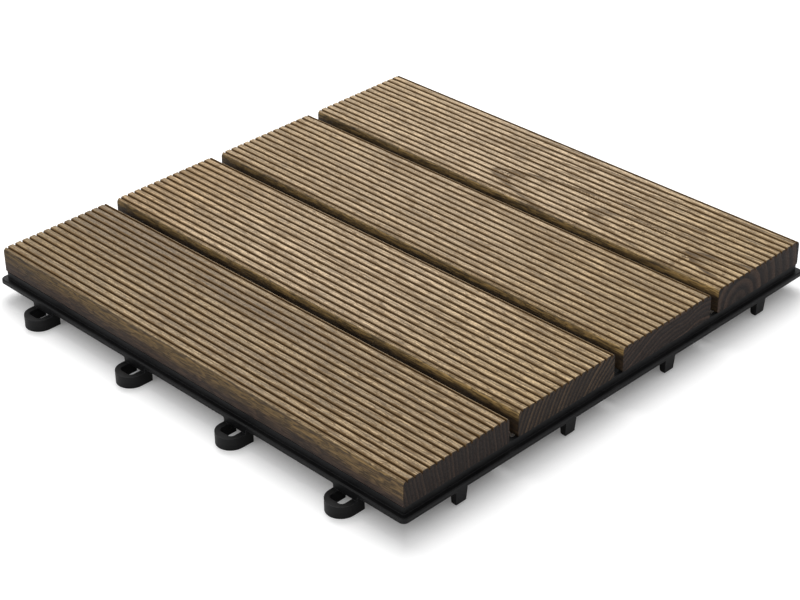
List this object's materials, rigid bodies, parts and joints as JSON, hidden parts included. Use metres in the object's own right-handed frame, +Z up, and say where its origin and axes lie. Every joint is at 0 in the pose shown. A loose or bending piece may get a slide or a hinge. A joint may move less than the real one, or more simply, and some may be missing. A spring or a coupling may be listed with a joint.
{
  "type": "interlocking deck tile",
  "caption": "Square outdoor floor tile: reeded wooden slats on a black plastic grid with loops and pegs that clip it to its neighbours.",
  "frame": {"origin": "middle of the tile's square at the level of the ground", "axes": "+Z up through the walking face, +X along the slats, the loops on the -Y and -X sides"},
  "size_m": [0.3097, 0.3097, 0.0296],
  "materials": {
    "wood": "oiled, weathered",
    "grid_plastic": "matte",
    "screw_steel": "satin"
  },
  "bodies": {
    "root": {"base_grid": "grid_plastic", "slat_1": "wood", "slat_2": "wood", "slat_3": "wood", "slat_4": "wood", "slat_screws": "screw_steel"}
  },
  "joints": []
}
